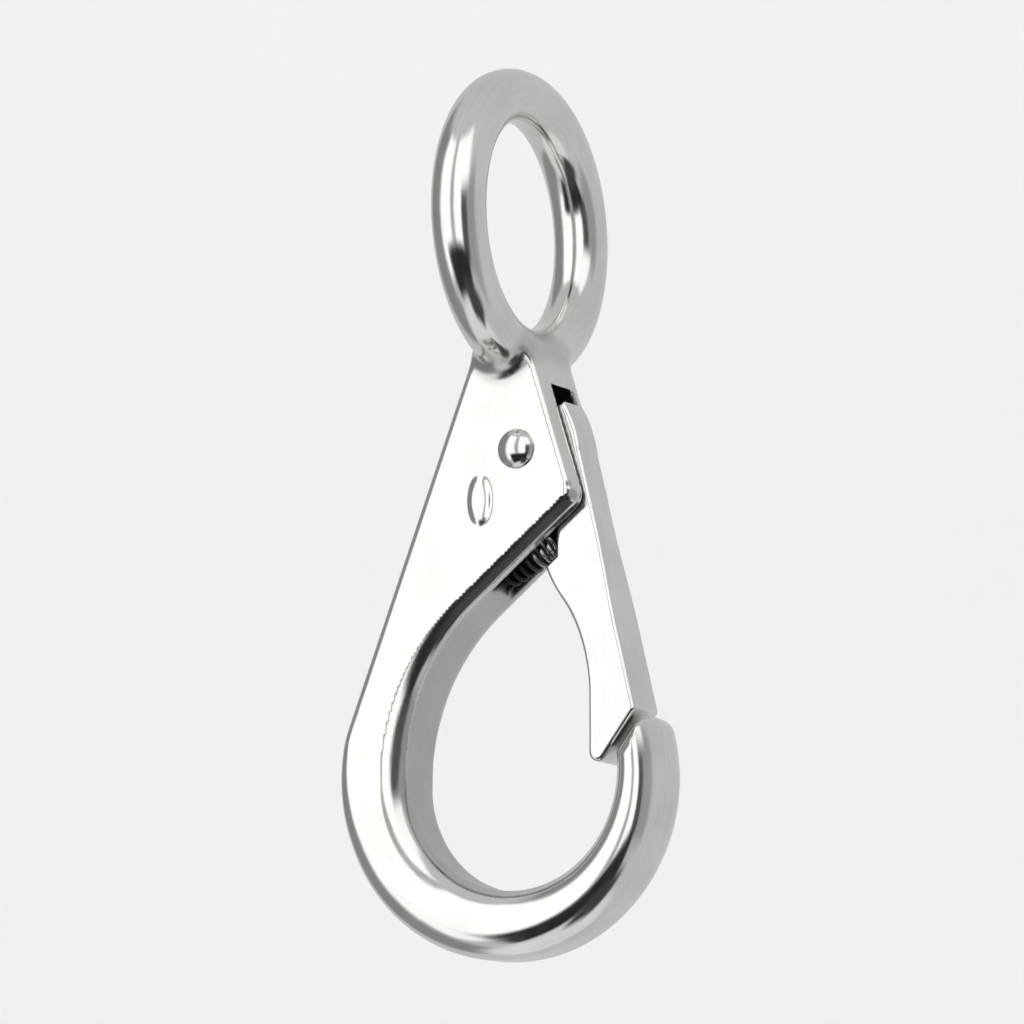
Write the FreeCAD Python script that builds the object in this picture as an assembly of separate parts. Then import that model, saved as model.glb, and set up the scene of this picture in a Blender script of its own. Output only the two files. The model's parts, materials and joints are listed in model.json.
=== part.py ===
"""Fixed-eye snap hook: a one-piece cast body with an eye, a sprung gate, its rivet and its spring.

Millimetres. The origin is the centre of the eye and +Z runs up along the hook. The hook lies in the XZ plane,
with its gate and nose on the +X side. The eye is turned a quarter turn, so its hole runs along X.
Heights in the dimensions below are measured up from the lowest point of the bowl.
"""

import FreeCAD
import Part
import math
import os

# Eye
EYE_HEIGHT = 67.5
EYE_RADIUS = 12.0
EYE_WIRE_RADIUS = 2.5

# Bow: the outer edge is a circle with a straight back, the inner edge is two arcs joined by a short straight
BODY_HALF_THICKNESS = 4.0
BOW_X = -0.95
BOW_RADIUS = 16.15
BACK_LEAN_DEG = 21.06
NECK_TOP = 56.3
BOWL_X = 0.05
BOWL_HEIGHT = 16.8
BOWL_RADIUS = 10.55
THROAT_X = 8.3
THROAT_HEIGHT = 17.5
THROAT_RADIUS = 18.8
THROAT_END_DEG = 129.0
EDGE_ROUND = 1.2
INNER_BEVEL = 1.1

# Neck edge and the lower corner of the cheeks
NECK_EDGE_TOP_X = 2.95
CHEEK_CORNER = (7.7, 41.2)
CHEEK_CORNER_ROUND = 1.6

# Nose: its seat faces the gate's slanted end
NOSE_END_DEG = 12.0
SEAT_TOP = (13.05, 21.7)
SEAT_FOOT = (10.5, 18.3)

# Slot between the cheeks
SLOT_HALF_WIDTH = 2.05
SLOT_TOP = 52.1
SLOT_FLOOR_X = -2.2
SLOT_ROUND = 4.8
SLOT_BOTTOM = 30.0
SLOT_MOUTH_X = 12.0

# Pivot rivet
PIVOT = (1.6, 46.1)
PIN_RADIUS = 1.25
PIN_CLEARANCE = 0.06
DOME_RADIUS = 1.85
DOME_HEIGHT = 1.1

# Gate
GATE_HALF_THICKNESS = 1.95
GATE_END_HALF_THICKNESS = 2.5
HUB_RADIUS = 3.3
SPINE_TOP = (5.4, 50.5)
SPINE_SHOULDER = (6.45, 48.3)
SPINE_START = (7.05, 45.8)
SPINE_END = (12.78, 22.05)
TIP_OUTER = (9.5, 17.65)
TIP_LOW = (8.6, 17.5)
TIP_INNER = (8.05, 18.4)
BELLY_HEIGHT = 23.6
BELLY_RADIUS = 14.5
BELLY_END_DEG = 37.5
WAIST = (4.05, 34.0)
NOTCH_LIP = (3.4, 35.5)
NOTCH_FOOT = (4.5, 36.4)
NOTCH_TOP = (4.5, 39.9)
NOTCH_BACK = (1.6, 39.1)
HUB_FOOT = (-0.2, 41.9)
HUB_LEFT_DEG = 195.0
HUB_TOP_DEG = 105.0
FLARE_UPPER = (9.0, 40.3)
FLARE_LOWER = (3.2, 31.3)
FLARE_RISE = 1.5
GATE_EDGE_ROUND = 0.45

# Gate spring: a coil between the slot floor and the notch in the gate
SPRING_SEAT = (-2.05, 34.96)
SPRING_TIP = (3.75, 37.7)
SPRING_MEAN_RADIUS = 1.2
SPRING_WIRE_RADIUS = 0.22
SPRING_TURNS = 7
END_TURN_GAP = 0.03

# Raised oval casting mark on the front face
MARK = (-2.1, 41.6)
MARK_HALF_WIDTH = 1.0
MARK_HALF_HEIGHT = 2.0
MARK_HEIGHT = 0.35

# How near two places count as the same, and how far cutting tools run past what they cut
TOUCH = 0.001
OVERSHOOT = 1.0
CUTTER_REACH = 40.0

Y_AXIS = FreeCAD.Vector(0, 1, 0)


def at(place, y=0.0):
    """A point given as (x, height above the bowl's lowest point)."""
    return FreeCAD.Vector(place[0], y, place[1] - EYE_HEIGHT)


def around(centre, radius, degrees):
    """A point on a circle in the hook's plane, counted from +X towards +Z."""
    angle = math.radians(degrees)
    return (centre[0] + radius * math.cos(angle), centre[1] + radius * math.sin(angle))


def tangent_arc_middle(centre, start, end):
    """Middle point of the arc that leaves start smoothly from a circle about centre, and reaches end."""
    distance = math.dist(centre, start)
    out = ((start[0] - centre[0]) / distance, (start[1] - centre[1]) / distance)
    chord = (start[0] - end[0], start[1] - end[1])
    radius = (chord[0] ** 2 + chord[1] ** 2) / (2 * (chord[0] * out[0] + chord[1] * out[1]))
    arc_centre = (start[0] - radius * out[0], start[1] - radius * out[1])
    start_deg = math.degrees(math.atan2(out[1], out[0]))
    end_deg = math.degrees(math.atan2(end[1] - arc_centre[1], end[0] - arc_centre[0]))
    return around(arc_centre, radius, (start_deg + end_deg) / 2)


def line(start, end):
    return Part.LineSegment(at(start), at(end)).toShape()


def arc(start, middle, end):
    return Part.Arc(at(start), at(middle), at(end)).toShape()


def plate(edges, half_thickness):
    """A plate of the closed outline, centred on the hook's plane."""
    face = Part.Face(Part.Wire(Part.__sortEdges__(edges)))
    face.translate(FreeCAD.Vector(0, -half_thickness, 0))
    return face.extrude(FreeCAD.Vector(0, 2 * half_thickness, 0))


def round_bar(place, radius, half_length):
    """A cylinder across the hook's plane."""
    return Part.makeCylinder(radius, 2 * half_length, at(place, -half_length), Y_AXIS)


def edges_on_faces(shape, half_thickness, wanted):
    """Edges of the front and back faces whose middle point the test accepts."""
    found = []
    for edge in shape.Edges:
        middle = edge.valueAt((edge.FirstParameter + edge.LastParameter) / 2)
        points = [middle] + [vertex.Point for vertex in edge.Vertexes]
        on_face = all(abs(abs(point.y) - half_thickness) < TOUCH for point in points)
        if on_face and wanted(middle.x, middle.z + EYE_HEIGHT):
            found.append(edge)
    return found


def edges_across(shape, place):
    """Edges that run straight across the plate at the given place."""
    found = []
    for edge in shape.Edges:
        if all(vertex.Point.distanceToPoint(at(place, vertex.Y)) < TOUCH for vertex in edge.Vertexes):
            found.append(edge)
    return found


def body_outline():
    """Outer edge, nose, bowl, throat and neck edge, in order."""
    bow = (BOW_X, BOW_RADIUS)
    throat = (THROAT_X, THROAT_HEIGHT)
    back_foot = around(bow, BOW_RADIUS, 180 - BACK_LEAN_DEG)
    back_slope = math.tan(math.radians(BACK_LEAN_DEG))
    back_top = (back_foot[0] + back_slope * (NECK_TOP - back_foot[1]), NECK_TOP)
    nose_foot = around(bow, BOW_RADIUS, NOSE_END_DEG)
    nose_middle = tangent_arc_middle(bow, nose_foot, SEAT_TOP)
    bowl_left = (BOWL_X - BOWL_RADIUS, BOWL_HEIGHT)
    throat_foot = (THROAT_X - THROAT_RADIUS, THROAT_HEIGHT)
    throat_end = around(throat, THROAT_RADIUS, THROAT_END_DEG)
    neck_edge_top = (NECK_EDGE_TOP_X, NECK_TOP)
    return [
        line(back_top, back_foot),
        arc(back_foot, (BOW_X, 0.0), nose_foot),
        arc(nose_foot, nose_middle, SEAT_TOP),
        line(SEAT_TOP, SEAT_FOOT),
        arc(SEAT_FOOT, (BOWL_X, BOWL_HEIGHT - BOWL_RADIUS), bowl_left),
        line(bowl_left, throat_foot),
        arc(throat_foot, around(throat, THROAT_RADIUS, (180 + THROAT_END_DEG) / 2), throat_end),
        line(throat_end, CHEEK_CORNER),
        line(CHEEK_CORNER, neck_edge_top),
        line(neck_edge_top, back_top),
    ]


def slot_cutter():
    """The space between the cheeks, open towards the gate side and into the throat."""
    corner = (SLOT_FLOOR_X + SLOT_ROUND, SLOT_TOP - SLOT_ROUND)
    outline = [
        line((SLOT_MOUTH_X, SLOT_TOP), (corner[0], SLOT_TOP)),
        arc((corner[0], SLOT_TOP), around(corner, SLOT_ROUND, 135), (SLOT_FLOOR_X, corner[1])),
        line((SLOT_FLOOR_X, corner[1]), (SLOT_FLOOR_X, SLOT_BOTTOM)),
        line((SLOT_FLOOR_X, SLOT_BOTTOM), (SLOT_MOUTH_X, SLOT_BOTTOM)),
        line((SLOT_MOUTH_X, SLOT_BOTTOM), (SLOT_MOUTH_X, SLOT_TOP)),
    ]
    return plate(outline, SLOT_HALF_WIDTH)


def is_outer(x, height):
    """True along the back, the bowl's underside and the nose."""
    outside_bow = math.hypot(x - BOW_X, height - BOW_RADIUS) > BOW_RADIUS - TOUCH
    on_back = outside_bow and x < SLOT_FLOOR_X and height < NECK_TOP - TOUCH
    on_underside = outside_bow and height < BOW_RADIUS
    on_nose = x > SEAT_TOP[0]
    return on_back or on_underside or on_nose


def is_inner(x, height):
    """True along the bowl, the throat, the cheek's lower edge and the neck edge, but not along the seat."""
    on_seat = x > SEAT_FOOT[0] and height < SEAT_TOP[1]
    return not is_outer(x, height) and not on_seat and height < NECK_TOP - TOUCH


def casting_mark():
    """A plain raised oval on the front face."""
    oval = Part.Ellipse(at(MARK), MARK_HALF_HEIGHT, MARK_HALF_WIDTH).toShape()
    oval.rotate(at(MARK), FreeCAD.Vector(1, 0, 0), 90)
    oval.rotate(at(MARK), Y_AXIS, 90)
    face = Part.Face(Part.Wire([oval]))
    face.translate(FreeCAD.Vector(0, -BODY_HALF_THICKNESS - MARK_HEIGHT, 0))
    return face.extrude(FreeCAD.Vector(0, 2 * MARK_HEIGHT, 0))


def hook_body():
    body = plate(body_outline(), BODY_HALF_THICKNESS)
    body = body.makeFillet(CHEEK_CORNER_ROUND, edges_across(body, CHEEK_CORNER))
    body = body.makeChamfer(INNER_BEVEL, edges_on_faces(body, BODY_HALF_THICKNESS, is_inner))
    body = body.makeFillet(EDGE_ROUND, edges_on_faces(body, BODY_HALF_THICKNESS, is_outer))
    body = body.cut(slot_cutter())
    body = body.cut(round_bar(PIVOT, PIN_RADIUS, BODY_HALF_THICKNESS + OVERSHOOT))
    eye = Part.makeTorus(EYE_RADIUS, EYE_WIRE_RADIUS, FreeCAD.Vector(0, 0, 0), FreeCAD.Vector(1, 0, 0))
    return body.fuse(eye).fuse(casting_mark()).removeSplitter()


def gate_outline():
    belly = (TIP_INNER[0] - BELLY_RADIUS, BELLY_HEIGHT)
    belly_end = around(belly, BELLY_RADIUS, BELLY_END_DEG)
    hub_left = around(PIVOT, HUB_RADIUS, HUB_LEFT_DEG)
    hub_top = around(PIVOT, HUB_RADIUS, HUB_TOP_DEG)
    hub_middle = around(PIVOT, HUB_RADIUS, (HUB_LEFT_DEG + HUB_TOP_DEG) / 2)
    return [
        arc(SPINE_TOP, SPINE_SHOULDER, SPINE_START),
        line(SPINE_START, SPINE_END),
        line(SPINE_END, TIP_OUTER),
        arc(TIP_OUTER, TIP_LOW, TIP_INNER),
        line(TIP_INNER, (TIP_INNER[0], BELLY_HEIGHT)),
        arc((TIP_INNER[0], BELLY_HEIGHT), around(belly, BELLY_RADIUS, BELLY_END_DEG / 2), belly_end),
        arc(belly_end, WAIST, NOTCH_LIP),
        line(NOTCH_LIP, NOTCH_FOOT),
        line(NOTCH_FOOT, NOTCH_TOP),
        line(NOTCH_TOP, NOTCH_BACK),
        line(NOTCH_BACK, HUB_FOOT),
        line(HUB_FOOT, hub_left),
        arc(hub_left, hub_middle, hub_top),
        line(hub_top, SPINE_TOP),
    ]


def flare_cutter(side):
    """A block that thins one side of the gate above its flare, where the gate runs between the cheeks."""
    lower, upper = at(FLARE_LOWER), at(FLARE_UPPER)
    along = (upper - lower).normalize()
    up = FreeCAD.Vector(-along.z, 0, along.x)
    depth = GATE_END_HALF_THICKNESS + OVERSHOOT - GATE_HALF_THICKNESS
    drop = FLARE_RISE * depth / (GATE_END_HALF_THICKNESS - GATE_HALF_THICKNESS)
    inner = lower - along * CUTTER_REACH + FreeCAD.Vector(0, side * GATE_HALF_THICKNESS, 0)
    outer = inner + FreeCAD.Vector(0, side * depth, 0)
    corners = [inner, outer - up * drop, outer + up * CUTTER_REACH, inner + up * CUTTER_REACH, inner]
    face = Part.Face(Part.makePolygon(corners))
    return face.extrude(along * (2 * CUTTER_REACH))


def is_below_waist(x, height):
    """True along the spine, the slanted end, the tip and the belly."""
    return height < WAIST[1] or x > PIVOT[0] + HUB_RADIUS and height < SPINE_START[1]


def gate():
    blank = plate(gate_outline(), GATE_END_HALF_THICKNESS)
    below_waist = edges_on_faces(blank, GATE_END_HALF_THICKNESS, is_below_waist)
    shape = blank.makeFillet(GATE_EDGE_ROUND, below_waist)
    shape = shape.cut(flare_cutter(1)).cut(flare_cutter(-1))
    return shape.cut(round_bar(PIVOT, PIN_RADIUS + PIN_CLEARANCE, GATE_END_HALF_THICKNESS + OVERSHOOT))


def pivot_pin():
    """A rivet across the cheeks, with a domed head on each side."""
    pin = round_bar(PIVOT, PIN_RADIUS, BODY_HALF_THICKNESS)
    sphere_radius = (DOME_RADIUS ** 2 + DOME_HEIGHT ** 2) / (2 * DOME_HEIGHT)
    for side in (1, -1):
        centre = at(PIVOT, side * (BODY_HALF_THICKNESS + DOME_HEIGHT - sphere_radius))
        ball = Part.makeSphere(sphere_radius, centre)
        face = at(PIVOT, side * BODY_HALF_THICKNESS)
        outside = Part.makeCylinder(DOME_RADIUS + OVERSHOOT, DOME_HEIGHT + OVERSHOOT, face, Y_AXIS * side)
        pin = pin.fuse(ball.common(outside))
    return pin.removeSplitter()


def gate_spring():
    """A close helical compression spring between the slot floor and the gate's notch."""
    seat, tip = at(SPRING_SEAT), at(SPRING_TIP)
    axis = tip - seat
    length = axis.Length - 2 * (SPRING_WIRE_RADIUS + END_TURN_GAP)
    pitch = length / SPRING_TURNS
    path = Part.makeHelix(pitch, length, SPRING_MEAN_RADIUS)
    start = FreeCAD.Vector(SPRING_MEAN_RADIUS, 0, 0)
    section = Part.Wire(Part.makeCircle(SPRING_WIRE_RADIUS, start, Y_AXIS))
    coil = Part.Wire(path.Edges).makePipeShell([section], True, True)
    turn = FreeCAD.Rotation(FreeCAD.Vector(0, 0, 1), axis)
    foot = seat + axis.normalize() * (SPRING_WIRE_RADIUS + END_TURN_GAP)
    coil.Placement = FreeCAD.Placement(foot, turn)
    return coil


def save(name, shape):
    """Each node is one valid closed solid, written in its place."""
    solids = shape.Solids
    if len(solids) != 1 or not solids[0].isValid():
        raise ValueError(name + " is not one valid solid")
    solids[0].exportStep(os.path.join("parts", name + ".step"))
    box = shape.BoundBox
    print(name, "volume %.1f" % shape.Volume, "box %.2f %.2f %.2f to %.2f %.2f %.2f" % (
        box.XMin, box.YMin, box.ZMin, box.XMax, box.YMax, box.ZMax))


os.makedirs("parts", exist_ok=True)
save("hook_body", hook_body())
save("gate", gate())
save("pivot_pin", pivot_pin())
save("gate_spring", gate_spring())
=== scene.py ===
"""Looks for a fixed-eye snap hook in polished stainless steel: its casting, gate, rivet and spring.

Shapes are worked out in millimetres and become meshes in metres. The hook lies in the XZ plane, the centre
of the eye is the origin, and a height is measured up from the lowest point of the bowl. The casting and the
gate are distance fields, negative inside the metal, because their edges run from crisp to fully round and
melt into the eye.
"""

import json
import math

import bmesh
import bpy
import numpy as np
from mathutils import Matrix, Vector


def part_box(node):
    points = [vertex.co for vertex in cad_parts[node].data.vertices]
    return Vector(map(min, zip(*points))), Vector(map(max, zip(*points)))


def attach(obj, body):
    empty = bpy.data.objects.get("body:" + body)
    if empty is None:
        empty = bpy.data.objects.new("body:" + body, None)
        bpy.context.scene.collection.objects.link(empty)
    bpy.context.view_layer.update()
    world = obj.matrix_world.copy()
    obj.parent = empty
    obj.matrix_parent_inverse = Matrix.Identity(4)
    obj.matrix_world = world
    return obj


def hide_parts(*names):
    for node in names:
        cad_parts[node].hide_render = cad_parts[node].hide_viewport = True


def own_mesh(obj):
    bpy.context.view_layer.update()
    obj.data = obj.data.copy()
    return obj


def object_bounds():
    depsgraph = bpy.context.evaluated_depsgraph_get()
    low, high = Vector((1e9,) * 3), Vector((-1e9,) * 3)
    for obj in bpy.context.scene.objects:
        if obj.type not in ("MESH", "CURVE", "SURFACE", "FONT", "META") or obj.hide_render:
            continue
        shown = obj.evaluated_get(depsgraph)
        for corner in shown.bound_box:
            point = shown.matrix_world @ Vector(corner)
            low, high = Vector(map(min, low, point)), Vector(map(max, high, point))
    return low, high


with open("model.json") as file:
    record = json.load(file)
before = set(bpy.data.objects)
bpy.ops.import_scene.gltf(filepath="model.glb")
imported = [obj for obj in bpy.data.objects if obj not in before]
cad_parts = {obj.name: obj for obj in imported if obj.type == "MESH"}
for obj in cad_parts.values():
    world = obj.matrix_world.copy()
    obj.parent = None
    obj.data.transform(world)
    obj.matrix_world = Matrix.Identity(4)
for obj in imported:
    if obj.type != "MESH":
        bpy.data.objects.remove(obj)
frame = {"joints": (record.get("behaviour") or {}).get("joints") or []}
cad_low, cad_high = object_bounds()

MM = 0.001
casting_low, casting_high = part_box("hook_body")
gate_low, gate_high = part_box("gate")
pin_low, pin_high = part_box("pivot_pin")
hinge = frame["joints"][0]
EYE_HEIGHT = -casting_low.z / MM
PIVOT = np.array([hinge["pos_m"][0] / MM, hinge["pos_m"][2] / MM + EYE_HEIGHT])

# Eye
EYE_RADIUS = 12.0
EYE_WIRE_RADIUS = 2.5
NECK_BLEND = 1.7

# Casting: outline in the hook's plane
HALF_THICKNESS = 4.0
BOW = np.array([-0.95, 16.15])
BOW_RADIUS = 16.15
BACK_LEAN_DEG = 21.06
NECK_TOP = 56.3
NECK_TOP_ROUND = 2.4
NECK_EDGE_TOP_X = 2.95
BOWL = np.array([0.05, 16.8])
BOWL_RADIUS = 10.55
THROAT = np.array([8.3, 17.5])
THROAT_RADIUS = 18.8
THROAT_END_DEG = 129.0
CHEEK_CORNER = np.array([7.7, 41.2])
CHEEK_CORNER_ROUND = 1.6
NOSE_END_DEG = 12.0
NOSE_TIP_ROUND = 1.25
SEAT_FOOT = np.array([10.5, 18.3])
SEAT_LENGTH = 3.2
SEAT_LEAN_DEG = 53.0

# Casting: how far its edges curve off across the plate and deep into it, and how round the inner ones are,
# at angles about the bow, with how many millimetres either side one kind of edge takes to become another
ANGLE_SEAM_DEG = 45.0
EDGE_STOPS_DEG = (70, 100, 130, 165, 178, 200, 240, 290, 345, 380)
OUTER_ACROSS = (1.1, 1.1, 1.1, 1.1, 1.6, 2.4, 3.0, 3.0, 2.3, 2.2)
OUTER_DEEP = (1.1, 1.1, 1.1, 1.1, 1.5, 2.2, 2.7, 2.8, 3.7, 3.9)
INNER_ACROSS = (1.25, 1.2, 1.5, 1.9, 1.95, 2.6, 3.0, 3.0, 2.3, 2.2)
INNER_DEEP = (1.15, 1.0, 1.2, 1.5, 1.6, 2.3, 2.7, 2.8, 3.7, 3.9)
INNER_POWER = (1.4, 1.35, 1.3, 1.3, 1.4, 2.0, 2.1, 2.1, 2.1, 2.1)
NECK_ACROSS = 0.85
NECK_DEEP = 1.9
ROUND_POWER = 2.1
OUTER_TO_INNER = 1.0
THROAT_TO_NECK = 0.6

# Slot between the cheeks
SLOT_HALF_WIDTH = 2.05
SLOT_TOP = 52.1
SLOT_FLOOR_X = -2.2
SLOT_ROUND = 4.8
SLOT_BOTTOM = 30.0
SLOT_MOUTH_X = 14.0
SLOT_FILLET = 0.3
SLOT_EDGE = 0.35

# Raised oval on the front cheek
MARK = np.array([-2.1, 41.6])
MARK_HALF_WIDTH = 1.0
MARK_HALF_HEIGHT = 2.0
MARK_HEIGHT = 0.35
MARK_EDGE = 0.55
MARK_BLEND = 0.5

# Gate
GATE_THIN = 1.95
GATE_THICK = 2.5
GATE_EDGE = 0.45
HUB_RADIUS = 3.3
HUB_LEFT_DEG = 195.0
HUB_TOP_DEG = 105.0
HUB_FOOT = (-0.2, 41.9)
SPINE_TOP = (5.4, 50.5)
SPINE_SHOULDER = (6.45, 48.3)
SPINE_START = (7.05, 45.8)
SPINE_END = (12.78, 22.05)
TIP_OUTER = (9.5, 17.65)
TIP_LOW = (8.6, 17.5)
TIP_INNER = (8.05, 18.4)
BELLY_HEIGHT = 23.6
BELLY_RADIUS = 14.5
BELLY_END_DEG = 37.5
WAIST = (4.05, 34.0)
NOTCH_LIP = (3.4, 35.5)
NOTCH_FOOT = (4.5, 36.4)
NOTCH_TOP = (4.5, 39.9)
NOTCH_BACK = (1.6, 39.1)
FLARE_UPPER = np.array([9.0, 40.3])
FLARE_LOWER = np.array([3.2, 31.3])
FLARE_RISE = 7.0

# Rivet
PIN_RADIUS = 1.25
PIN_CLEARANCE = 0.06
DOME_RADIUS = 1.85
DOME_POWER = 1.75
DOME_STEPS = 24
DOME_RIM = 0.8
DOME_RIM_WEAR = 0.4

# Spring
SPRING_SEAT = np.array([-2.05, 34.96])
SPRING_TIP = np.array([3.75, 37.7])
SPRING_RADIUS = 1.2
WIRE_RADIUS = 0.22
SPRING_TURNS = 7
END_TURN_GAP = 0.03
STEPS_PER_TURN = 32
WIRE_SIDES = 10

# Meshes: the grid's step, how finely gradients are taken, and how points settle and even out on the surface
CASTING_STEP = 0.29
GATE_STEP = 0.17
SLOPE_STEP = 0.01
LEAST_STEEPNESS = 0.05
FIRST_SETTLES = 3
EVEN_ROUNDS = 4
EVEN_SHARE = 0.6
EVEN_SETTLES = 2
SHARPEST_TURN = 1.5
LATHE_SEGMENTS = 96
TINY = 1e-9

# Where the colour carries painted shade and the steel is duller: millimetres over which it fades in, and
# shares of the spring's length
SLOT_FADE_ACROSS = (-0.15, 0.5)
SLOT_FADE_DEEP = (-0.3, 0.0)
WALL_FADE_ACROSS = (-0.5, 0.8)
WALL_FADE_DEEP = (0.6, 2.0)
CORNER_REACH = 2.2
CORNER_FADE = 1.4
# The corner below the eye is duller and its colour carries painted shade
CORNER_DULL_AND_SHADE = 0.6
SPRING_SHADE_SPAN = (0.5, 0.9)

# Steel: the noises' scales, and what streaks, worn edges, and the dull places and hollows, whose darker
# colour is painted shade, do to it
STREAK_DETAIL = 4.0
STREAK_ROUGHNESS = 0.62
CLOUD_SCALE = 210.0
CLOUD_DETAIL = 3.0
PIT_SCALE = 2600.0
PIT_DETAIL = 2.0
STREAK_TONE = 0.6
EDGE_TONE = 0.35
DARK_TONE = 0.88
# Painted shade: how dark the colour gets on the throat's wall and in the corner below the eye, which are
# also rougher
SATIN_PAINTED_SHADE = 0.7
# Painted shade: how dark the colour gets inside the slot and at the spring's seat
SLOT_PAINTED_SHADE = 0.09
EDGE_SMOOTHER = 0.03
SATIN_ROUGHER = 0.16
CAVITY_ROUGHER = 0.3
PIT_HEIGHT = 0.3
BUMP_DISTANCE = 0.00003

# Studio, in metres, and camera
FLOOR_DROP = 0.07
ROOM_RADIUS = 1.1
ROOM_BEND = 0.25
ROOM_HEIGHT = 1.3
BEND_STEPS = 12
LAMP_SIZE = 0.7
LAMP_WATTS = 5.5
LAMP_PLACE = (-0.35, -0.45, 0.9)
CAMERA_AZIMUTH_DEG = 28.0
CAMERA_ELEVATION_DEG = -8.5
CAMERA_LENS_MM = 200.0
FRAME_ROOM = 1.14


def unit(vector):
    return vector / np.linalg.norm(vector)


def around(centre, radius, degrees):
    """A point on a circle in the hook's plane, counted from +X towards +Z."""
    angle = math.radians(degrees)
    return np.array([centre[0] + radius * math.cos(angle), centre[1] + radius * math.sin(angle)])


def angle_of(offset):
    return math.degrees(math.atan2(offset[1], offset[0]))


class Line:
    """A straight stretch of an outline."""

    def __init__(self, start, end):
        self.start = np.array(start, float)
        self.end = np.array(end, float)
        self.run = self.end - self.start

    def distance(self, x, height):
        ahead = (x - self.start[0]) * self.run[0] + (height - self.start[1]) * self.run[1]
        share = np.clip(ahead / (self.run @ self.run), 0, 1)
        across = x - self.start[0] - share * self.run[0]
        up = height - self.start[1] - share * self.run[1]
        return np.hypot(across, up)

    def crossed(self, x, height):
        """Whether a level ray from each point towards +X crosses the stretch."""
        spans = (self.start[1] > height) != (self.end[1] > height)
        slope = self.run[0] / (self.run[1] or 1.0)
        return spans & (x < self.start[0] + (height - self.start[1]) * slope)


class Arc(Line):
    """A round stretch, the shorter way about a centre unless its angles are given."""

    def __init__(self, centre, start, end, sweep=None):
        super().__init__(start, end)
        self.centre = centre
        self.radius = np.linalg.norm(self.start - centre)
        start_deg = angle_of(self.start - centre)
        if sweep is None:
            sweep = (angle_of(self.end - centre) - start_deg + 180) % 360 - 180
        self.first_deg = min(start_deg, start_deg + sweep)
        self.sweep = abs(sweep)
        self.middle = around(centre, self.radius, self.first_deg + self.sweep / 2)

    def distance(self, x, height):
        across, up = x - self.centre[0], height - self.centre[1]
        turn = (np.degrees(np.arctan2(up, across)) - self.first_deg) % 360
        to_start = np.hypot(x - self.start[0], height - self.start[1])
        to_end = np.hypot(x - self.end[0], height - self.end[1])
        to_circle = np.abs(np.hypot(across, up) - self.radius)
        return np.where(turn <= self.sweep, to_circle, np.minimum(to_start, to_end))

    def side(self, x, height):
        return self.run[0] * (height - self.start[1]) - self.run[1] * (x - self.start[0])

    def crossed(self, x, height):
        in_circle = np.hypot(x - self.centre[0], height - self.centre[1]) < self.radius
        past_chord = self.side(x, height) * self.side(*self.middle) > 0
        return super().crossed(x, height) ^ (in_circle & past_chord)


def arc_through(start, middle, end):
    """The arc through three points."""
    start, middle, end = (np.array(p, float) for p in (start, middle, end))
    rows = 2 * np.array([middle - start, end - start])
    sizes = np.array([middle @ middle - start @ start, end @ end - start @ start])
    return Arc(np.linalg.solve(rows, sizes), start, end)


def round_corner(before, corner, after, radius):
    """The arc that rounds the corner between two straights."""
    to_before = unit(before - corner)
    to_after = unit(after - corner)
    half = math.acos(to_before @ to_after) / 2
    centre = corner + unit(to_before + to_after) * radius / math.sin(half)
    reach = radius / math.tan(half)
    return Arc(centre, corner + to_before * reach, corner + to_after * reach)


def nearest(outline, x, height):
    return np.minimum.reduce([piece.distance(x, height) for piece in outline])


def signed_distance(outline, x, height):
    """Distance to a closed outline, negative inside it."""
    inside = np.logical_xor.reduce([piece.crossed(x, height) for piece in outline])
    away = nearest(outline, x, height)
    return np.where(inside, -away, away)


def smooth_step(value, start, end):
    share = np.clip((value - start) / (end - start), 0, 1)
    return share * share * (3 - 2 * share)


def mix(first, second, share):
    return first + (second - first) * share


def soft_union(first, second, width):
    """Two solids joined with a fillet in the corner between them."""
    overlap = np.maximum(width - np.abs(first - second), 0)
    return np.minimum(first, second) - overlap ** 2 / (4 * width)


def soft_cut(solid, tool, width):
    """A solid without the tool, its new edges eased."""
    overlap = np.maximum(width - np.abs(solid + tool), 0)
    return np.maximum(solid, -tool) + overlap ** 2 / (4 * width)


def plate(outline, face, across_edge, deep_edge, power):
    """A plate whose edges curve off over two widths: round at a power of 2, and a soft bevel near 1."""
    across = outline / across_edge + 1
    deep = face / deep_edge + 1
    first = np.maximum(across, 0) ** power
    second = np.maximum(deep, 0) ** power
    total = first + second
    width = (first * across_edge + second * deep_edge) / np.maximum(total, TINY)
    width = np.where(total > TINY, width, np.minimum(across_edge, deep_edge))
    return (total ** (1 / power) - 1 + np.minimum(np.maximum(across, deep), 0)) * width


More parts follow.
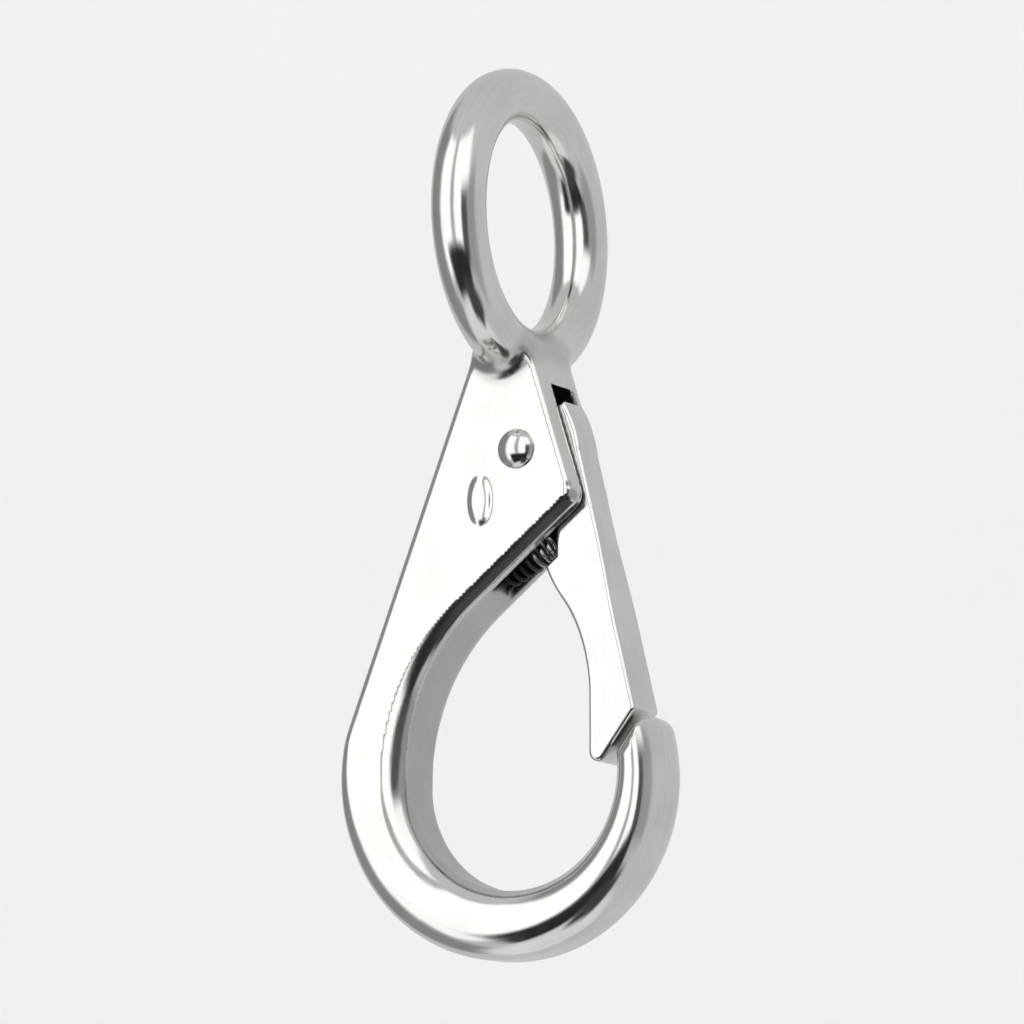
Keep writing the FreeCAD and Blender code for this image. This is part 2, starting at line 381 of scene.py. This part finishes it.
def casting_outline():
    """The casting's outer stretches, from top down the back to nose, and inner ones, from seat to neck."""
    back_foot = around(BOW, BOW_RADIUS, 180 - BACK_LEAN_DEG)
    back_run = np.array([math.tan(math.radians(BACK_LEAN_DEG)), 1.0])
    back_top = back_foot + back_run * (NECK_TOP - back_foot[1])
    neck_top = np.array([NECK_EDGE_TOP_X, NECK_TOP])
    throat_end = around(THROAT, THROAT_RADIUS, THROAT_END_DEG)
    top_left = round_corner(back_foot, back_top, neck_top, NECK_TOP_ROUND)
    top_right = round_corner(back_top, neck_top, CHEEK_CORNER, NECK_TOP_ROUND)
    cheek = round_corner(neck_top, CHEEK_CORNER, throat_end, CHEEK_CORNER_ROUND)
    bow_sweep = 180 + BACK_LEAN_DEG + NOSE_END_DEG

    seat_run = around((0, 0), 1, SEAT_LEAN_DEG)
    seat_out = around((0, 0), 1, SEAT_LEAN_DEG + 90)
    seat_top = SEAT_FOOT + seat_run * SEAT_LENGTH
    tip = seat_top - seat_out * NOSE_TIP_ROUND
    nose_foot = around(BOW, BOW_RADIUS, NOSE_END_DEG)
    bow_out = unit(nose_foot - BOW)
    gap = nose_foot - tip
    nose_radius = (gap @ gap - NOSE_TIP_ROUND ** 2) / (2 * (gap @ bow_out - NOSE_TIP_ROUND))
    nose_centre = nose_foot - bow_out * nose_radius
    nose_top = tip + unit(tip - nose_centre) * NOSE_TIP_ROUND

    bowl_left = BOWL - np.array([BOWL_RADIUS, 0])
    throat_foot = THROAT - np.array([THROAT_RADIUS, 0])
    seat_sweep = 180 + angle_of(SEAT_FOOT - BOWL)
    outer = [
        Line(top_left.end, top_right.start),
        top_left,
        Line(top_left.start, back_foot),
        Arc(BOW, back_foot, nose_foot, bow_sweep),
        Arc(nose_centre, nose_foot, nose_top),
        Arc(tip, nose_top, seat_top),
    ]
    inner = [
        Line(seat_top, SEAT_FOOT),
        Arc(BOWL, SEAT_FOOT, bowl_left, -seat_sweep),
        Line(bowl_left, throat_foot),
        Arc(THROAT, throat_foot, throat_end),
        Line(throat_end, cheek.end),
        cheek,
        Line(cheek.start, top_right.end),
        top_right,
    ]
    return outer, inner


def slot_outline():
    corner = np.array([SLOT_FLOOR_X + SLOT_ROUND, SLOT_TOP - SLOT_ROUND])
    roof_start = corner + np.array([0, SLOT_ROUND])
    floor_top = corner - np.array([SLOT_ROUND, 0])
    return [
        Line((SLOT_MOUTH_X, SLOT_TOP), roof_start),
        Arc(corner, roof_start, floor_top),
        Line(floor_top, (SLOT_FLOOR_X, SLOT_BOTTOM)),
        Line((SLOT_FLOOR_X, SLOT_BOTTOM), (SLOT_MOUTH_X, SLOT_BOTTOM)),
        Line((SLOT_MOUTH_X, SLOT_BOTTOM), (SLOT_MOUTH_X, SLOT_TOP)),
    ]


def gate_outline():
    belly = np.array([TIP_INNER[0] - BELLY_RADIUS, BELLY_HEIGHT])
    belly_foot = (TIP_INNER[0], BELLY_HEIGHT)
    belly_end = around(belly, BELLY_RADIUS, BELLY_END_DEG)
    hub_left = around(PIVOT, HUB_RADIUS, HUB_LEFT_DEG)
    hub_top = around(PIVOT, HUB_RADIUS, HUB_TOP_DEG)
    return [
        arc_through(SPINE_TOP, SPINE_SHOULDER, SPINE_START),
        Line(SPINE_START, SPINE_END),
        Line(SPINE_END, TIP_OUTER),
        arc_through(TIP_OUTER, TIP_LOW, TIP_INNER),
        Line(TIP_INNER, belly_foot),
        Arc(belly, belly_foot, belly_end),
        arc_through(belly_end, WAIST, NOTCH_LIP),
        Line(NOTCH_LIP, NOTCH_FOOT),
        Line(NOTCH_FOOT, NOTCH_TOP),
        Line(NOTCH_TOP, NOTCH_BACK),
        Line(NOTCH_BACK, HUB_FOOT),
        Line(HUB_FOOT, hub_left),
        Arc(PIVOT, hub_left, hub_top),
        Line(hub_top, SPINE_TOP),
    ]


OUTER, INNER = casting_outline()
THROAT_SIDE, NECK_SIDE = INNER[:-2], INNER[-2:]
SLOT = slot_outline()
GATE = gate_outline()


def bow_angle(x, height):
    """Degrees about the bow's centre, growing from the cheeks down the back and round to the nose."""
    turn = np.degrees(np.arctan2(height - BOW[1], x - BOW[0])) - ANGLE_SEAM_DEG
    return turn % 360 + ANGLE_SEAM_DEG


def eye_field(x, y, height):
    ring = np.hypot(y, height - EYE_HEIGHT) - EYE_RADIUS
    return np.hypot(ring, x) - EYE_WIRE_RADIUS


def body_field(x, y, height):
    """The plate of bow and cheeks: crisp down the back, bevelled in the throat, and oval in the bowl."""
    to_outer = nearest(OUTER, x, height)
    to_inner = nearest(INNER, x, height)
    to_throat = nearest(THROAT_SIDE, x, height)
    to_neck = nearest(NECK_SIDE, x, height)
    outline = signed_distance(OUTER + INNER, x, height)
    inner_share = smooth_step(to_outer - to_inner, -OUTER_TO_INNER, OUTER_TO_INNER)
    neck_share = smooth_step(to_throat - to_neck, -THROAT_TO_NECK, THROAT_TO_NECK)
    turn = bow_angle(x, height)
    outer_across, outer_deep, across, deep, power = (
        np.interp(turn, EDGE_STOPS_DEG, widths)
        for widths in (OUTER_ACROSS, OUTER_DEEP, INNER_ACROSS, INNER_DEEP, INNER_POWER))
    across = mix(outer_across, mix(across, NECK_ACROSS, neck_share), inner_share)
    deep = mix(outer_deep, mix(deep, NECK_DEEP, neck_share), inner_share)
    power = mix(ROUND_POWER, mix(power, ROUND_POWER, neck_share), inner_share)
    return plate(outline, np.abs(y) - HALF_THICKNESS, across, deep, power)


def mark_field(x, y, height):
    oval = np.hypot((x - MARK[0]) / MARK_HALF_WIDTH, (height - MARK[1]) / MARK_HALF_HEIGHT) - 1
    face = np.abs(y + HALF_THICKNESS) - MARK_HEIGHT
    return plate(oval * MARK_HALF_WIDTH, face, MARK_EDGE, MARK_HEIGHT, ROUND_POWER)


def bore_field(x, height, radius):
    return np.hypot(x - PIVOT[0], height - PIVOT[1]) - radius


def casting_field(x, y, height):
    body = soft_union(body_field(x, y, height), eye_field(x, y, height), NECK_BLEND)
    body = soft_union(body, mark_field(x, y, height), MARK_BLEND)
    face = np.abs(y) - SLOT_HALF_WIDTH
    slot = plate(signed_distance(SLOT, x, height), face, SLOT_FILLET, SLOT_FILLET, ROUND_POWER)
    body = soft_cut(body, slot, SLOT_EDGE)
    return np.maximum(body, -bore_field(x, height, PIN_RADIUS))


def gate_field(x, y, height):
    """The gate: thin between the cheeks, and flared to the casting's nose below them."""
    along = unit(FLARE_UPPER - FLARE_LOWER)
    below = (x - FLARE_LOWER[0]) * along[1] - (height - FLARE_LOWER[1]) * along[0]
    half = mix(GATE_THIN, GATE_THICK, smooth_step(below, 0, FLARE_RISE))
    solid = plate(signed_distance(GATE, x, height), np.abs(y) - half, GATE_EDGE, GATE_EDGE, ROUND_POWER)
    return np.maximum(solid, -bore_field(x, height, PIN_RADIUS + PIN_CLEARANCE))


def slope(field, points):
    """The field's gradient at each point."""
    columns = []
    for shift in np.eye(3) * SLOPE_STEP:
        ahead = field(*(points + shift).T)
        behind = field(*(points - shift).T)
        columns.append((ahead - behind) / (2 * SLOPE_STEP))
    return np.stack(columns, axis=1)


def settle(field, points, step, rounds):
    """Moves points onto the surface, by no more than half a step each round."""
    for _ in range(rounds):
        value = field(*points.T)
        fall = slope(field, points)
        steepness = np.maximum((fall ** 2).sum(axis=1), LEAST_STEEPNESS)
        move = fall * (value / steepness)[:, None]
        length = np.maximum(np.linalg.norm(move, axis=1), TINY)
        points = points - move * np.minimum(1, step / 2 / length)[:, None]
    return points


def net_points(values):
    """Cells the surface passes through, and the middle of its crossings of each cell's edges, in steps."""
    inside = values < 0
    shape = np.array(inside.shape) - 1
    count = np.zeros(shape, np.int8)
    for corner in np.ndindex(2, 2, 2):
        part = tuple(slice(c, c + n) for c, n in zip(corner, shape))
        count += inside[part]
    active = (count > 0) & (count < 8)
    cells = np.argwhere(active)
    total = np.zeros((len(cells), 3))
    number = np.zeros(len(cells))
    for axis in range(3):
        ahead = np.eye(3, dtype=int)[axis]
        for side in np.ndindex(2, 2):
            start = cells + np.insert(side, axis, 0)
            first = values[tuple(start.T)]
            second = values[tuple((start + ahead).T)]
            crosses = (first < 0) != (second < 0)
            share = first[crosses] / (first[crosses] - second[crosses])
            total[crosses] += start[crosses] + share[:, None] * ahead
            number[crosses] += 1
    return active, total / number[:, None]


def net_quads(values, active):
    """One quad across each grid edge that the surface crosses, facing outwards."""
    index = np.full(active.shape, -1)
    index[active] = np.arange(active.sum())
    inside = values < 0
    quads = []
    for axis in range(3):
        second, third = (axis + 1) % 3, (axis + 2) % 3
        ahead = np.eye(3, dtype=int)[axis]
        trimmed = tuple(slice(None, n - a) for n, a in zip(inside.shape, ahead))
        shifted = tuple(slice(a, None) for a in ahead)
        edges = np.argwhere(inside[trimmed] != inside[shifted])
        ring = []
        for back, down in ((1, 1), (0, 1), (0, 0), (1, 0)):
            cell = edges.copy()
            cell[:, second] -= back
            cell[:, third] -= down
            ring.append(index[tuple(cell.T)])
        quad = np.stack(ring, axis=1)
        leaving = inside[tuple(edges.T)]
        quad[~leaving] = quad[~leaving][:, ::-1]
        quads.append(quad)
    return np.concatenate(quads)


def spread(quads, values):
    """Each vertex's mean of a value over its neighbours along the quads' sides."""
    starts = quads.ravel()
    ends = np.roll(quads, -1, axis=1).ravel()
    size = len(values)
    number = np.bincount(starts, minlength=size) + np.bincount(ends, minlength=size)
    columns = []
    for column in values.T:
        total = np.bincount(starts, column[ends], size) + np.bincount(ends, column[starts], size)
        columns.append(total / number)
    return np.stack(columns, axis=1)


def edge_turn(quads, points, normals):
    """How sharply the surface turns at each vertex, in radians a millimetre, eased over its neighbours."""
    starts = quads.ravel()
    ends = np.roll(quads, -1, axis=1).ravel()
    turn = np.linalg.norm(normals[starts] - normals[ends], axis=1)
    turn /= np.linalg.norm(points[starts] - points[ends], axis=1)
    size = len(points)
    mean = np.bincount(starts, turn, size) / np.bincount(starts, minlength=size)
    return spread(quads, mean[:, None])[:, 0]


def solid_mesh(name, field, low, high, step):
    """An even quad mesh of a field's surface, with the surface's own normals, and its points."""
    first = np.array(low) / MM + [0, 0, EYE_HEIGHT] - 2 * step
    last = np.array(high) / MM + [0, 0, EYE_HEIGHT] + 3 * step
    x, y, height = (np.arange(a, b, step) for a, b in zip(first, last))
    values = field(x[:, None, None], y[None, :, None], height[None, None, :])
    active, points = net_points(values)
    quads = net_quads(values, active)
    points = settle(field, points * step + first, step, FIRST_SETTLES)
    for _ in range(EVEN_ROUNDS):
        points = mix(points, spread(quads, points), EVEN_SHARE)
        points = settle(field, points, step, EVEN_SETTLES)
    normals = slope(field, points)
    normals /= np.linalg.norm(normals, axis=1)[:, None]
    mesh = bpy.data.meshes.new(name)
    mesh.from_pydata((points - [0, 0, EYE_HEIGHT]) * MM, [], quads.tolist())
    mesh.shade_smooth()
    mesh.normals_split_custom_set_from_vertices(normals)
    sharpness = np.clip(edge_turn(quads, points, normals), 0, SHARPEST_TURN) / SHARPEST_TURN
    add_attribute(mesh, "edge", sharpness)
    return mesh, points


def add_attribute(mesh, name, values):
    kind = "FLOAT" if values.ndim == 1 else "FLOAT_VECTOR"
    attribute = mesh.attributes.new(name, kind, "POINT")
    key = "value" if values.ndim == 1 else "vector"
    attribute.data.foreach_set(key, values.ravel().astype(np.float32))


def casting_grain(x, y, height):
    """Millimetres along and across the polish, which runs round the eye and along the bow."""
    eye_turn = np.arctan2(y, EYE_HEIGHT - height)
    on_eye = np.stack([eye_turn * EYE_RADIUS, x, np.hypot(y, height - EYE_HEIGHT)], axis=1)
    turn = np.radians(bow_angle(x, height))
    on_bow = np.stack([turn * BOW_RADIUS, y, signed_distance(OUTER + INNER, x, height)], axis=1)
    eye_nearer = eye_field(x, y, height) < body_field(x, y, height)
    return np.where(eye_nearer[:, None], on_eye, on_bow)


def slot_depth(x, y, height):
    """How far each point is inside the slot, where the steel is rougher and its colour is darkened as
    painted shade: 0 outside it and 1 within.
    """
    inward = smooth_step(-signed_distance(SLOT, x, height), *SLOT_FADE_ACROSS)
    return inward * smooth_step(SLOT_HALF_WIDTH - np.abs(y), *SLOT_FADE_DEEP)


def dull_and_shaded_places(x, y, height):
    """Where polish is duller and the colour carries painted shade: 1 on the wall of the throat and bowl,
    less in the corner below the eye.
    """
    to_others = nearest(OUTER + NECK_SIDE, x, height)
    to_throat = nearest(THROAT_SIDE, x, height)
    nearer = smooth_step(to_others - to_throat, *WALL_FADE_ACROSS)
    wall = nearer * smooth_step(HALF_THICKNESS - np.abs(y), *WALL_FADE_DEEP)
    nearness = CORNER_REACH - eye_field(x, y, height) - body_field(x, y, height)
    corner = smooth_step(nearness, 0, CORNER_FADE)
    return np.maximum(wall, CORNER_DULL_AND_SHADE * corner)


def gate_grain(x, y, height):
    """Millimetres along the spine, across it and below it."""
    along = unit(np.array(SPINE_END) - SPINE_START)
    ahead = (x - SPINE_START[0]) * along[0] + (height - SPINE_START[1]) * along[1]
    below = (x - SPINE_START[0]) * along[1] - (height - SPINE_START[1]) * along[0]
    return np.stack([ahead, y, below], axis=1)


def vertex_places(mesh):
    """Each vertex's place in millimetres from the eye's centre."""
    places = np.empty(len(mesh.vertices) * 3)
    mesh.vertices.foreach_get("co", places)
    return places.reshape(-1, 3) / MM


def add_piece(name, mesh, material, body, node):
    """Puts a mesh in the scene in place of its CAD node."""
    piece = bpy.data.objects.new(name, mesh)
    bpy.context.scene.collection.objects.link(piece)
    mesh.materials.append(material)
    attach(piece, body)
    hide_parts(node)
    return piece


def lathe(profile, centre):
    """A surface turned about an axis along Y through a centre, from a profile of (radius, y) pairs."""
    shape = bmesh.new()
    rings = []
    for radius, y in profile:
        if radius == 0:
            rings.append([shape.verts.new((centre[0], y, centre[1]))])
            continue
        ring = []
        for i in range(LATHE_SEGMENTS):
            turn = 2 * math.pi * i / LATHE_SEGMENTS
            place = (centre[0] + radius * math.cos(turn), y, centre[1] + radius * math.sin(turn))
            ring.append(shape.verts.new(place))
        rings.append(ring)
    for first, second in zip(rings, rings[1:]):
        for i in range(LATHE_SEGMENTS):
            j = (i + 1) % LATHE_SEGMENTS
            around_face = ((first, i), (first, j), (second, j), (second, i))
            corners = [ring[k % len(ring)] for ring, k in around_face]
            shape.faces.new(list(dict.fromkeys(corners)))
    bmesh.ops.recalc_face_normals(shape, faces=shape.faces)
    return shape


def finish_mesh(name, shape):
    """A smooth-shaded mesh of a bmesh, which is freed."""
    mesh = bpy.data.meshes.new(name)
    shape.to_mesh(mesh)
    shape.free()
    mesh.shade_smooth()
    return mesh


def rivet_mesh():
    """A rivet across the cheeks, each head a low dome whose rim stands upright."""
    dome_height = (pin_high.y - pin_low.y) / 2 / MM - HALF_THICKNESS
    half = [(0, HALF_THICKNESS + dome_height)]
    for i in range(1, DOME_STEPS + 1):
        lean = math.pi / 2 * i / DOME_STEPS
        out, rise = math.sin(lean) ** (2 / DOME_POWER), abs(math.cos(lean)) ** (2 / DOME_POWER)
        half.append((DOME_RADIUS * out, HALF_THICKNESS + dome_height * rise))
    half += [(PIN_RADIUS, HALF_THICKNESS), (PIN_RADIUS, HALF_THICKNESS / 2)]
    whole = half + [(radius, -y) for radius, y in reversed(half)]
    profile = [(radius * MM, y * MM) for radius, y in whole]
    centre = (PIVOT[0] * MM, (PIVOT[1] - EYE_HEIGHT) * MM)
    mesh = finish_mesh("rivet", lathe(profile, centre))
    x, y, z = vertex_places(mesh).T
    across, up = x - centre[0] / MM, z - centre[1] / MM
    turn = np.arctan2(up, across)
    out = np.hypot(up, across)
    add_attribute(mesh, "grain", np.stack([turn * DOME_RADIUS, out, y], axis=1))
    add_attribute(mesh, "edge", smooth_step(out, DOME_RADIUS * DOME_RIM, DOME_RADIUS) * DOME_RIM_WEAR)
    return mesh


def spring_mesh():
    """A compression spring: round wire swept along an even helix, clear of the slot's floor at its seat."""
    seat = np.array([SPRING_SEAT[0], 0, SPRING_SEAT[1] - EYE_HEIGHT])
    tip = np.array([SPRING_TIP[0], 0, SPRING_TIP[1] - EYE_HEIGHT])
    axis = unit(tip - seat)
    side = np.array([0.0, 1.0, 0.0])
    up = np.cross(axis, side)
    length = np.linalg.norm(tip - seat) - 2 * (WIRE_RADIUS + END_TURN_GAP)
    pitch = length / SPRING_TURNS
    total = SPRING_TURNS * STEPS_PER_TURN
    shape = bmesh.new()
    previous = None
    ends = []
    for i in range(total + 1):
        turns = i / STEPS_PER_TURN
        angle = 2 * math.pi * turns
        outward = side * math.sin(angle) - up * math.cos(angle)
        forward = side * math.cos(angle) + up * math.sin(angle)
        tangent = unit(forward * 2 * math.pi * SPRING_RADIUS + axis * pitch)
        across = np.cross(tangent, outward)
        advance = WIRE_RADIUS + END_TURN_GAP + pitch * turns
        centre = seat + axis * advance + outward * SPRING_RADIUS
        ring = []
        for j in range(WIRE_SIDES):
            lean = 2 * math.pi * j / WIRE_SIDES
            point = centre + (outward * math.cos(lean) + across * math.sin(lean)) * WIRE_RADIUS
            ring.append(shape.verts.new(point * MM))
        if previous:
            for j in range(WIRE_SIDES):
                k = (j + 1) % WIRE_SIDES
                shape.faces.new((previous[j], previous[k], ring[k], ring[j]))
        if i in (0, total):
            ends.append(ring)
        previous = ring
    for ring in ends:
        shape.faces.new(ring)
    bmesh.ops.recalc_face_normals(shape, faces=shape.faces)
    mesh = finish_mesh("spring", shape)
    places = vertex_places(mesh)
    along = (places - seat) @ axis
    run = np.arange(len(places)) // WIRE_SIDES * 2 * math.pi * SPRING_RADIUS / STEPS_PER_TURN
    add_attribute(mesh, "grain", np.stack([run, places[:, 1], along], axis=1))
    # Painted shade: the wire's colour darkens towards the seat, where it sits in the slot
    add_attribute(mesh, "painted_slot_shade", 1 - smooth_step(along / length, *SPRING_SHADE_SPAN))
    return mesh


class Graph:
    """Adds nodes to a node tree. An input is a value, or another node's output that is linked to it."""

    def __init__(self, tree):
        self.tree = tree
        tree.nodes.clear()

    def add(self, kind, inputs=(), output=0, **settings):
        node = self.tree.nodes.new(kind)
        for name, value in settings.items():
            setattr(node, name, value)
        for name, value in dict(inputs).items():
            if isinstance(value, bpy.types.NodeSocket):
                self.tree.links.new(value, node.inputs[name])
            else:
                node.inputs[name].default_value = value
        return node.outputs[output] if len(node.outputs) else node

    def math(self, operation, first, second=0.0):
        return self.add("ShaderNodeMath", {0: first, 1: second}, operation=operation)

    def ramp(self, value, start, end, low=0.0, high=1.0):
        """A smooth step from low at start to high at end."""
        inputs = {"Value": value, "From Min": start, "From Max": end, "To Min": low, "To Max": high}
        return self.add("ShaderNodeMapRange", inputs, interpolation_type="SMOOTHSTEP")

    def blend(self, first, second, share):
        """Two numbers mixed."""
        return self.add("ShaderNodeMix", {0: share, 2: first, 3: second}, data_type="FLOAT")

    def tint(self, first, second, share):
        """Two colours mixed."""
        inputs = {0: share, 6: [*first, 1.0], 7: [*second, 1.0]}
        return self.add("ShaderNodeMix", inputs, output=2, data_type="RGBA")

    def noise(self, place, scale, detail, roughness=0.5):
        inputs = {"Vector": place, "Scale": scale, "Detail": detail, "Roughness": roughness}
        return self.add("ShaderNodeTexNoise", inputs)


def steel(name, colour, roughness, stretch, relief):
    """Polished steel: streaks along the polish, smoother, brighter edges, and duller hollows and walls
    whose darker colour is painted shade.
    """
    material = bpy.data.materials.new(name)
    material.use_nodes = True
    graph = Graph(material.node_tree)
    grain = graph.add("ShaderNodeAttribute", output="Vector", attribute_name="grain")
    worn = graph.add("ShaderNodeAttribute", output="Fac", attribute_name="edge")
    painted_slot_shade = graph.add("ShaderNodeAttribute", output="Fac", attribute_name="painted_slot_shade")
    satin_and_shade = graph.add("ShaderNodeAttribute", output="Fac", attribute_name="satin_and_shade")
    place = graph.add("ShaderNodeTexCoord", output="Object")
    stretched = graph.add("ShaderNodeVectorMath", {0: grain, 1: stretch}, operation="MULTIPLY")
    streaks = graph.noise(stretched, 1.0, STREAK_DETAIL, STREAK_ROUGHNESS)
    clouds = graph.noise(place, CLOUD_SCALE, CLOUD_DETAIL)
    pits = graph.noise(place, PIT_SCALE, PIT_DETAIL)

    tone = graph.math("ADD", clouds, graph.math("MULTIPLY", streaks, STREAK_TONE))
    tone = graph.math("ADD", graph.ramp(tone, 0.5, 1.1), graph.math("MULTIPLY", worn, EDGE_TONE))
    shade = graph.tint([c * DARK_TONE for c in colour], colour, tone)
    # Painted shade on the throat's wall and in the corner below the eye
    satin_painted_shade = graph.ramp(satin_and_shade, 0.0, 1.0, 1.0, SATIN_PAINTED_SHADE)
    # Painted shade inside the slot and at the spring's seat
    slot_shade_factor = graph.ramp(painted_slot_shade, 0.0, 1.0, 1.0, SLOT_PAINTED_SHADE)
    dulled = graph.math("MULTIPLY", satin_painted_shade, slot_shade_factor)
    shade = graph.add("ShaderNodeVectorMath", {0: shade, "Scale": dulled}, operation="SCALE")
    rough = graph.ramp(streaks, 0.3, 0.72, roughness * 0.75, roughness * 1.3)
    rough = graph.math("ADD", rough, graph.ramp(clouds, 0.35, 0.7, -0.02, 0.03))
    rough = graph.math("SUBTRACT", rough, graph.math("MULTIPLY", worn, EDGE_SMOOTHER))
    rough = graph.math("ADD", rough, graph.math("MULTIPLY", satin_and_shade, SATIN_ROUGHER))
    rough = graph.math("ADD", rough, graph.math("MULTIPLY", painted_slot_shade, CAVITY_ROUGHER))
    height = graph.math("ADD", streaks, graph.math("MULTIPLY", pits, PIT_HEIGHT))
    bump = graph.add("ShaderNodeBump", {"Strength": relief, "Distance": BUMP_DISTANCE, "Height": height})
    surface = graph.add("ShaderNodeBsdfPrincipled", {
        "Base Color": shade, "Metallic": 1.0, "Roughness": rough, "Normal": bump})
    graph.add("ShaderNodeOutputMaterial", {"Surface": surface})
    return material


def plain_paint():
    """Pale matt paint with a faint mottle, for the studio's floor and walls."""
    material = bpy.data.materials.new("pale_paint")
    material.use_nodes = True
    graph = Graph(material.node_tree)
    place = graph.add("ShaderNodeTexCoord", output="Object")
    mottle = graph.noise(place, 6.0, 4.0)
    shade = graph.tint((0.86, 0.86, 0.855), (0.89, 0.89, 0.885), mottle)
    rough = graph.ramp(mottle, 0.3, 0.7, 0.75, 0.85)
    surface = graph.add("ShaderNodeBsdfPrincipled", {"Base Color": shade, "Roughness": rough})
    graph.add("ShaderNodeOutputMaterial", {"Surface": surface})
    return material


# What the steel reflects: azimuths, elevations and softness in degrees, and brightness. Azimuth 0 is in
# front and 90 on the gate's side, and a later patch covers an earlier one.
SURROUNDINGS = [
    ((-112, -58), (-60, 50), 16, 0.29),
    ((60, 98), (-30, 25), 16, 0.38),
    ((-180, 180), (-100, -58), 12, 0.85),
    ((-11, 11), (-18, 52), 9, 0.5),
    ((-52, -8), (-18, 52), 8, 1.4),
    ((-52, -32), (-36, 0), 9, 1.3),
    ((8, 38), (-18, 54), 8, 1.4),
    ((30, 72), (20, 54), 11, 1.3),
    ((38, 62), (-24, 15), 10, 0.1),
    ((-35, 56), (-56, -20), 9, 0.025),
    ((12, 78), (-74, -42), 14, 0.06),
]
OPEN_STUDIO = 0.62
STUDIO_TINT = (1.0, 0.995, 0.985, 1.0)


def studio_world():
    """Two tall soft boxes with a gap between them, a dark stretch below them, and pale grey all round."""
    world = bpy.data.worlds.new("studio")
    world.use_nodes = True
    graph = Graph(world.node_tree)
    place = graph.add("ShaderNodeTexCoord", output="Generated")
    split = graph.add("ShaderNodeSeparateXYZ", {"Vector": place}).node.outputs
    azimuth = graph.math("ARCTAN2", split["X"], graph.math("MULTIPLY", split["Y"], -1.0))
    azimuth = graph.math("DEGREES", azimuth)
    elevation = graph.math("DEGREES", graph.math("ARCSINE", split["Z"]))
    level = OPEN_STUDIO
    for (left, right), (bottom, top), soft, brightness in SURROUNDINGS:
        share = 1.0
        for value, low, high in ((azimuth, left, right), (elevation, bottom, top)):
            rises = graph.ramp(value, low - soft / 2, low + soft / 2)
            falls = graph.ramp(value, high + soft / 2, high - soft / 2)
            share = graph.math("MULTIPLY", graph.math("MULTIPLY", rises, falls), share)
        level = graph.blend(level, brightness, share)
    light = graph.add("ShaderNodeBackground", {"Strength": level, "Color": STUDIO_TINT})
    graph.add("ShaderNodeOutputWorld", {"Surface": light})
    bpy.context.scene.world = world


def studio_room(low):
    """A round pale floor that curves up into a wall, and a soft lamp that the steel doesn't mirror."""
    floor_z = low.z - FLOOR_DROP
    flat = ROOM_RADIUS - ROOM_BEND
    profile = [(0, 0), (flat, 0)]
    for i in range(1, BEND_STEPS + 1):
        angle = math.pi / 2 * i / BEND_STEPS
        profile.append((flat + ROOM_BEND * math.sin(angle), ROOM_BEND - ROOM_BEND * math.cos(angle)))
    profile.append((ROOM_RADIUS, ROOM_HEIGHT))
    room = bpy.data.objects.new("room", finish_mesh("room", lathe(profile, (0, 0))))
    room.rotation_euler = (math.pi / 2, 0, 0)
    room.location = (0, 0, floor_z)
    room.data.materials.append(plain_paint())
    room.visible_glossy = False
    room.visible_shadow = False
    bpy.context.scene.collection.objects.link(room)

    lamp_data = bpy.data.lights.new("lamp", "AREA")
    lamp_data.shape = "DISK"
    lamp_data.size = LAMP_SIZE
    lamp_data.energy = LAMP_WATTS
    lamp = bpy.data.objects.new("lamp", lamp_data)
    lamp.location = LAMP_PLACE
    aim = Vector((0, 0, floor_z)) - lamp.location
    lamp.rotation_euler = aim.to_track_quat("-Z", "Y").to_euler()
    lamp.visible_glossy = False
    lamp.visible_camera = False
    bpy.context.scene.collection.objects.link(lamp)


def add_camera(low, high):
    """Looks a little up at the hook from the gate's side, through a long lens."""
    azimuth, elevation = math.radians(CAMERA_AZIMUTH_DEG), math.radians(CAMERA_ELEVATION_DEG)
    back = Vector((math.sin(azimuth) * math.cos(elevation), -math.cos(azimuth) * math.cos(elevation),
                   math.sin(elevation)))
    data = bpy.data.cameras.new("camera")
    data.lens = CAMERA_LENS_MM
    frame_height = (high.z - low.z) * FRAME_ROOM
    distance = frame_height / 2 / math.tan(data.angle / 2)
    camera = bpy.data.objects.new("camera", data)
    camera.location = (low + high) / 2 + back * distance
    camera.rotation_euler = (-back).to_track_quat("-Z", "Y").to_euler()
    bpy.context.scene.collection.objects.link(camera)
    bpy.context.scene.camera = camera


casting_steel = steel(
    "polished_casting", colour=(0.80, 0.79, 0.77), roughness=0.13, stretch=(0.22, 3.4, 3.4), relief=0.16)
gate_steel = steel(
    "polished_gate", colour=(0.79, 0.785, 0.77), roughness=0.15, stretch=(0.2, 4.2, 4.2), relief=0.2)
rivet_steel = steel(
    "rivet_steel", colour=(0.77, 0.765, 0.75), roughness=0.1, stretch=(1.5, 3.0, 3.0), relief=0.1)
# The spring's darker colour is painted shade of the slot it sits in
wire_steel = steel(
    "spring_wire", colour=(0.5, 0.495, 0.485), roughness=0.22, stretch=(0.5, 9.0, 9.0), relief=0.15)

mesh, points = solid_mesh("casting", casting_field, casting_low, casting_high, CASTING_STEP)
add_attribute(mesh, "grain", casting_grain(*points.T))
# Painted shade inside the slot, which is also rougher there
add_attribute(mesh, "painted_slot_shade", slot_depth(*points.T))
# Rougher satin, and painted shade in the colour, on the throat's wall and in the corner below the eye
add_attribute(mesh, "satin_and_shade", dull_and_shaded_places(*points.T))
add_piece("polished_hook_body", mesh, casting_steel, "hook", "hook_body")

mesh, points = solid_mesh("latch", gate_field, gate_low, gate_high, GATE_STEP)
add_attribute(mesh, "grain", gate_grain(*points.T))
add_piece("polished_latch", mesh, gate_steel, "gate", "gate")

add_piece("domed_rivet", rivet_mesh(), rivet_steel, "hook", "pivot_pin")

spring = add_piece("coil_spring", spring_mesh(), wire_steel, "hook", "gate_spring")
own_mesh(spring)

studio_world()
studio_room(cad_low)
add_camera(cad_low, cad_high)
bpy.context.scene.view_settings.view_transform = "Standard"
